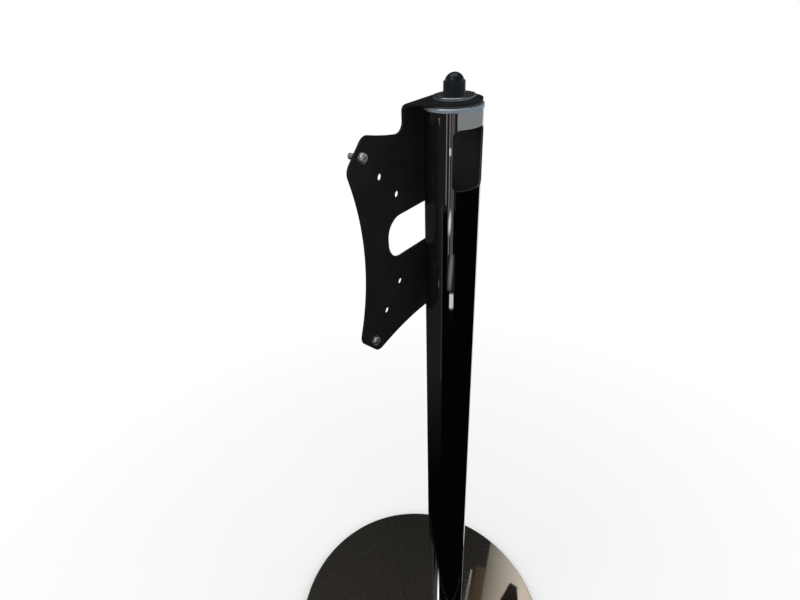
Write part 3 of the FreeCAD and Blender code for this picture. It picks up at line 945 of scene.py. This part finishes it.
@dataclass(frozen=True)
class Glow:
    """What a card shows: one colour, or a fade between two by the distance from a point."""

    near: Colour
    far: Colour | None = None
    centre: Place = (0, 0, 0)
    reach: Span = (0, 1)
    stretch: Place = (1, 1, 1)

    def material(self, name: str) -> bpy.types.Material:
        """Builds the glow.

        Args:
            name: the material's name.

        Returns:
            The material.
        """
        graph = Graph(name)
        graph.nodes.remove(graph.shader)
        light = graph.nodes.new("ShaderNodeEmission")
        light.inputs["Color"].default_value = (*self.near, 1)
        if self.far:
            away = graph.nodes.new("ShaderNodeVectorMath")
            away.operation = "DISTANCE"
            graph.links.new(graph.stretched(graph.place, self.stretch), away.inputs[0])
            away.inputs[1].default_value = Vector(self.centre) * Vector(self.stretch)
            share = graph.mapped(away.outputs["Value"], self.reach, (0, 1))
            graph.links.new(graph.colours(share, (0, 1), self.near, self.far), light.inputs["Color"])
        graph.links.new(light.outputs[0], graph.nodes["Material Output"].inputs["Surface"])
        return graph.material


def show_in_reflections_only(card: Piece, glow: Glow) -> None:
    """Gives a card a glow that only reflections see.

    Args:
        card: the card.
        glow: what it shows.
    """
    card.data.materials.clear()
    card.data.materials.append(glow.material(card.name))
    card.visible_camera = False
    card.visible_diffuse = False
    card.visible_transmission = False
    card.visible_shadow = False


@dataclass(frozen=True)
class RoundCard:
    """A card round the column, from one distance and height to another, that only reflections see."""

    name: str
    glow: Glow
    start: float
    end: float
    inner: Span
    outer: Span
    steps: int = 24

    def build(self, axis: Vector) -> None:
        """Spins an edge round the column.

        Args:
            axis: the foot of the column's axis.
        """
        first = math.radians(self.start)
        outward = Vector((math.cos(first), math.sin(first), 0))
        bpy.ops.mesh.primitive_plane_add(size=1)
        card = bpy.context.object
        card.name = self.name
        with editing(card):
            pick(card, Pick.VERT, lambda vert: vert.co.x > 0)
            bpy.ops.mesh.delete(type="VERT")
            mesh = bmesh.from_edit_mesh(card.data)
            for vert, (distance, height) in zip(mesh.verts, (self.inner, self.outer)):
                vert.co = axis + outward * distance + Vector((0, 0, height))
            bmesh.update_edit_mesh(card.data)
            bpy.ops.mesh.select_all(action="SELECT")
            sweep = math.radians(self.end - self.start)
            bpy.ops.mesh.spin(steps=self.steps, angle=sweep, center=(axis.x, axis.y, 0), axis=(0, 0, -1))
        show_in_reflections_only(card, self.glow)


@dataclass(frozen=True)
class CeilingCard:
    """A level card above the stand that only reflections see, laid out along a turned line."""

    name: str
    glow: Glow
    along: Span
    across: Span
    height: float = 2.5
    turn: float = math.radians(20.4)

    def build(self) -> None:
        """Hangs the card."""
        middle = Vector((sum(self.along) / 2, sum(self.across) / 2, self.height))
        place = Matrix.Rotation(self.turn, 3, "Z") @ middle
        bpy.ops.mesh.primitive_plane_add(size=1, location=place, rotation=(0, 0, self.turn))
        card = bpy.context.object
        card.name = self.name
        card.scale = (self.along[1] - self.along[0], self.across[1] - self.across[0], 1)
        settle(card)
        show_in_reflections_only(card, self.glow)


def seen_rays(tree: bpy.types.NodeTree) -> Socket:
    """Tells camera, glossy and transmission rays from the rest.

    Args:
        tree: the node tree to add to.

    Returns:
        1 on such a ray, and 0 on another.
    """
    path = tree.nodes.new("ShaderNodeLightPath")
    seen = path.outputs["Is Camera Ray"]
    for name in ("Is Glossy Ray", "Is Transmission Ray"):
        either = tree.nodes.new("ShaderNodeMath")
        either.operation = "MAXIMUM"
        tree.links.new(seen, either.inputs[0])
        tree.links.new(path.outputs[name], either.inputs[1])
        seen = either.outputs[0]
    return seen


@dataclass
class Studio:
    """The pale floor, the soft light and the dark cards that chrome is shot with."""

    axis: Vector
    floor_size: float = 400.0
    floor_colour: Colour = (0.93, 0.93, 0.93)
    floor_shade: float = 0.985
    floor_cells: float = 2
    shadow_reach: Span = (0.34, 1.2)
    fill: float = 0.74
    aim_height: float = 0.7

    def build(self) -> None:
        """Sets up the floor, the world, the lamps and the cards."""
        self.lay_floor()
        self.light_world()
        self.hang_lamp("key_lamp", place=(2.2, 0.4, 2.9), size=3.0, watts=44)
        self.hang_lamp("side_lamp", place=(-1.4, 2.6, 2.2), size=2.4, watts=20)
        self.lay_floor_cards()
        self.hang_ceiling_cards()

    def lay_floor(self) -> None:
        """Lays the plain pale floor, which keeps the shadow near the stand and goes white away from it."""
        bpy.ops.mesh.primitive_plane_add(size=self.floor_size)
        floor = bpy.context.object
        floor.name = "floor"
        graph = Graph("pale_floor")
        graph.constant(Roughness=0.9, Specular_IOR_Level=0.1)
        cloud = graph.noise(self.floor_cells, 2)
        clouded = shaded(self.floor_colour, self.floor_shade)
        graph.drive("Base Color", graph.colours(cloud, MIDDLE, self.floor_colour, clouded))
        white = graph.nodes.new("ShaderNodeEmission")
        mix = graph.nodes.new("ShaderNodeMixShader")
        far = graph.mapped(graph.radius(self.axis), self.shadow_reach, (0, 1))
        graph.links.new(graph.math("MULTIPLY", far, seen_rays(graph.material.node_tree)), mix.inputs[0])
        graph.links.new(graph.shader.outputs[0], mix.inputs[1])
        graph.links.new(white.outputs[0], mix.inputs[2])
        graph.links.new(mix.outputs[0], graph.nodes["Material Output"].inputs["Surface"])
        floor.data.materials.append(graph.material)

    def light_world(self) -> None:
        """Shows a white background to the camera and to reflections, and a softer fill to the rest."""
        world = bpy.data.worlds.new("studio")
        bpy.context.scene.world = world
        world.use_nodes = True
        nodes, links = world.node_tree.nodes, world.node_tree.links
        seen = nodes["Background"]
        seen.inputs["Color"].default_value = (1, 1, 1, 1)
        soft = nodes.new("ShaderNodeBackground")
        soft.inputs["Color"].default_value = (1, 1, 1, 1)
        soft.inputs["Strength"].default_value = self.fill
        mix = nodes.new("ShaderNodeMixShader")
        links.new(seen_rays(world.node_tree), mix.inputs[0])
        links.new(soft.outputs[0], mix.inputs[1])
        links.new(seen.outputs[0], mix.inputs[2])
        links.new(mix.outputs[0], nodes["World Output"].inputs["Surface"])

    def hang_lamp(self, name: str, place: Place, size: float, watts: float) -> None:
        """Hangs one large soft lamp that faces the column, and that no polished part mirrors.

        Args:
            name: the lamp's name.
            place: where it hangs.
            size: the side of its square.
            watts: its power.
        """
        lamp = bpy.data.lights.new(name, "AREA")
        lamp.shape = "SQUARE"
        lamp.size = size
        lamp.energy = watts
        holder = bpy.data.objects.new(name, lamp)
        holder.visible_glossy = False
        bpy.context.scene.collection.objects.link(holder)
        aim = Vector((self.axis.x, self.axis.y, self.aim_height)) - Vector(place)
        facing = aim.to_track_quat("-Z", "Y").to_matrix().to_4x4()
        holder.matrix_world = Matrix.Translation(place) @ facing

    def lay_floor_cards(self) -> None:
        """Lays what the column mirrors: a dark floor that pales far out, with strips and patches."""
        foot = tuple(self.axis)
        black = (0.0015, 0.0015, 0.0015)
        dark = (0.016, 0.016, 0.018)
        pale = (0.29, 0.31, 0.31)
        dim = (0.12, 0.10, 0.095)
        floor_fade = Glow(black, pale, foot, (2.75, 4.3))
        dim_fade = Glow(black, dark, foot, (0.5, 0.95))
        dark_fade = Glow(dark, pale, foot, (5.2, 8.6))
        far_fade = Glow(pale, (0.85, 0.85, 0.85), foot, (9.0, 45.0))
        flash = Glow((0.95, 0.92, 0.88), dim, self.beside(23, 2.23), (0.06, 0.15), (0.8, 0.5, 1))
        grey_fade = Glow((0.22, 0.213, 0.196), dark, self.beside(31, 1.69), (0.08, 0.23), (1, 0.5, 1))
        bright = Glow((0.85, 0.84, 0.82))
        for card in (
            self.on_floor("floor_card", floor_fade, (-142, 174), (0.01, 9.0), 1),
            self.on_floor("far_floor", far_fade, (-142, 174), (9.0, 60.0), 1),
            self.on_floor("dim_floor", dim_fade, (-142, -6), (0.5, 2.4), 2),
            self.on_floor("dark_floor", dark_fade, (-142, 46), (2.4, 9.0), 2),
            self.on_floor("edge_strip", Glow((0.040, 0.040, 0.040)), (-12, -6), (0.9, 2.5), 3),
            self.on_floor("brown_strip", Glow((0.31, 0.24, 0.18)), (4.5, 8), (2.5, 5.6), 3),
            self.on_floor("grey_strip", Glow((0.30, 0.28, 0.27)), (17, 20), (1.84, 5.6), 3),
            self.on_floor("dim_strip", Glow(dim), (24, 37), (1.84, 5.6), 3),
            self.on_floor("grey_patch", grey_fade, (13, 48), (1.5, 1.84), 3),
            self.on_floor("flash_patch", flash, (14, 34), (2.06, 2.42), 4),
            self.on_floor("small_flash", bright, (17, 24), (3.5, 3.7), 4),
            self.on_floor("bright_patch", bright, (26, 44), (1.355, 1.468), 4),
            RoundCard("back_card", Glow(dark), 190, 250, (1.5, 1.1), (1.5, 1.62)),
        ):
            card.build(self.axis)

    def hang_ceiling_cards(self) -> None:
        """Hangs what the base and the top mirror: a dark ceiling with lights, strips and a panel."""
        gloomy = (0.024, 0.0225, 0.0205)
        level = (1, 1, 0)
        ceiling_fade = Glow((0.002, 0.002, 0.002), (0.62, 0.62, 0.61), self.overhead(0, 0), (2.3, 7.0))
        gloom = Glow(gloomy, (0.043, 0.0385, 0.034), self.overhead(-2.4, -0.4), (0.4, 1.6))
        aside = self.overhead(-1.6, -3.0)
        warm = Glow((0.20, 0.19, 0.16), (0.90, 0.77, 0.66), aside, (3.02, 3.28))
        brown = Glow((0.072, 0.046, 0.029), (0.11, 0.078, 0.052), aside, (2.95, 3.03))
        panel = Glow((0.020, 0.016, 0.015))
        dome_light = Glow((14.0, 14.2, 14.0), gloomy, self.overhead(0.751, -0.301), (0, 0.275), level)
        foot_light = Glow((5.0, 5.0, 4.9), gloomy, self.overhead(1.19, -0.86), (0, 0.2), level)
        corner = self.overhead(1.14, -0.92)
        foot_fade = Glow((0.15, 0.148, 0.142), (0.045, 0.044, 0.042), corner, (0.3, 1.4), level)
        for card in (
            CeilingCard("black_ceiling", ceiling_fade, (-9.0, 9.0), (-9.0, 9.0), 2.56),
            CeilingCard("gloomy_ceiling", gloom, (-2.2, 1.25), (-1.4, 0.012), 2.52),
            CeilingCard("warm_ceiling", warm, (-2.2, -0.9), (0.02, 0.42), 2.5),
            CeilingCard("soft_box", Glow((2.2, 2.2, 2.15)), (-0.7, 0.38), (-0.95, 0.6), 2.46),
            CeilingCard("round_light", dome_light, (0.47, 1.03), (-0.58, -0.02), 1.9),
            CeilingCard("foot_light", foot_light, (0.99, 1.39), (-1.06, -0.66), 2.44),
            CeilingCard("foot_glow", foot_fade, (-0.7, 0.45), (-1.75, -1.25), 2.44),
            CeilingCard("foot_shine", foot_fade, (0.45, 1.0), (-1.42, -1.0), 2.45),
            CeilingCard("brown_ceiling", brown, (-1.64, -0.9), (-0.05, 0.022), 2.48),
            CeilingCard("bright_edge", Glow((0.40, 0.36, 0.32)), (-1.6, -0.9), (-0.082, -0.070), 2.48),
            CeilingCard("dark_panel", panel, (-1.556, -1.0), (-0.372, -0.315), 2.48, 0.0),
            CeilingCard("dark_wedge", panel, (-1.502, -1.0), (0.433, 0.498), 2.47, math.radians(30)),
        ):
            card.build()

    @staticmethod
    def on_floor(name: str, glow: Glow, sector: Span, reach: Span, layer: int) -> RoundCard:
        """Describes a card that lies flat, so that the column mirrors it and the base doesn't.

        Args:
            name: the card's name.
            glow: what it shows.
            sector: its first and last direction from the column, in degrees from +X.
            reach: its least and greatest distance from the column's axis.
            layer: its place in the pile of cards, counted from the floor.

        Returns:
            The card.
        """
        lift = layer * CARD_GAP
        steps = max(2, round((sector[1] - sector[0]) / CARD_STEP))
        return RoundCard(name, glow, *sector, (reach[0], lift), (reach[1], lift), steps)

    def beside(self, azimuth: float, distance: float) -> Place:
        """Gives a point of the floor by its direction and distance from the column.

        Args:
            azimuth: the direction, in degrees from +X.
            distance: how far from the column's axis.

        Returns:
            The point.
        """
        turn = math.radians(azimuth)
        return tuple(self.axis + Vector((math.cos(turn), math.sin(turn), 0)) * distance)

    @staticmethod
    def overhead(along: float, across: float) -> Place:
        """Gives a point of the ceiling cards' turned plan.

        Args:
            along: the distance along the plan.
            across: the distance across it.

        Returns:
            The point, at the cards' usual height.
        """
        place = Vector((along, across, CeilingCard.height))
        return tuple(Matrix.Rotation(CeilingCard.turn, 3, "Z") @ place)


@dataclass(frozen=True)
class PhotoCamera:
    """The camera behind, beside and above the stand, looking down past the column."""

    place: Place = (0.463764, 0.351757, 1.182069)
    yaw: float = math.radians(-132.475)
    pitch: float = math.radians(31.017)
    roll: float = math.radians(4.586)
    focal_pixels: float = 512.534
    centre_pixels: Span = (-32.680, -8.142)
    frame_width: float = 800
    sensor: float = 36
    nearest: float = 0.02

    def build(self) -> None:
        """Sets up the scene's camera."""
        lens = bpy.data.cameras.new("photo_camera")
        lens.sensor_fit = "HORIZONTAL"
        lens.sensor_width = self.sensor
        lens.lens = self.focal_pixels * self.sensor / self.frame_width
        lens.shift_x = -self.centre_pixels[0] / self.frame_width
        lens.shift_y = self.centre_pixels[1] / self.frame_width
        lens.clip_start = self.nearest
        camera = bpy.data.objects.new("photo_camera", lens)
        bpy.context.scene.collection.objects.link(camera)
        level = Vector((math.sin(self.yaw), math.cos(self.yaw), 0)) * math.cos(self.pitch)
        ahead = level - Vector((0, 0, math.sin(self.pitch)))
        side = Vector((math.cos(self.yaw), -math.sin(self.yaw), 0))
        down = ahead.cross(side)
        right = side * math.cos(self.roll) + down * math.sin(self.roll)
        up = side * math.sin(self.roll) - down * math.cos(self.roll)
        turned = Matrix((right, up, -ahead)).transposed().to_4x4()
        camera.matrix_world = Matrix.Translation(self.place) @ turned
        bpy.context.scene.camera = camera


def main() -> None:
    """Builds the stand's sub-assemblies in order, then the studio and the camera."""
    logging.basicConfig(level=logging.INFO, format="%(name)s: %(message)s")
    bpy.context.scene.view_settings.view_transform = "Standard"
    axis = Vector(frame["joints"][0]["pos_m"])
    axis.z = 0
    finishes = Finishes(axis, Column.radius - Column.wall)
    RoundBase(finishes).dress()
    Column(finishes, axis).build()
    SwivelStack(finishes).dress()
    mount = MountSheet(finishes)
    mount.build()
    mount.dress()
    screws = ScreenScrews(finishes)
    screws.build()
    screws.dress()
    Studio(axis).build()
    PhotoCamera().build()


if __name__ == "__main__":
    main()
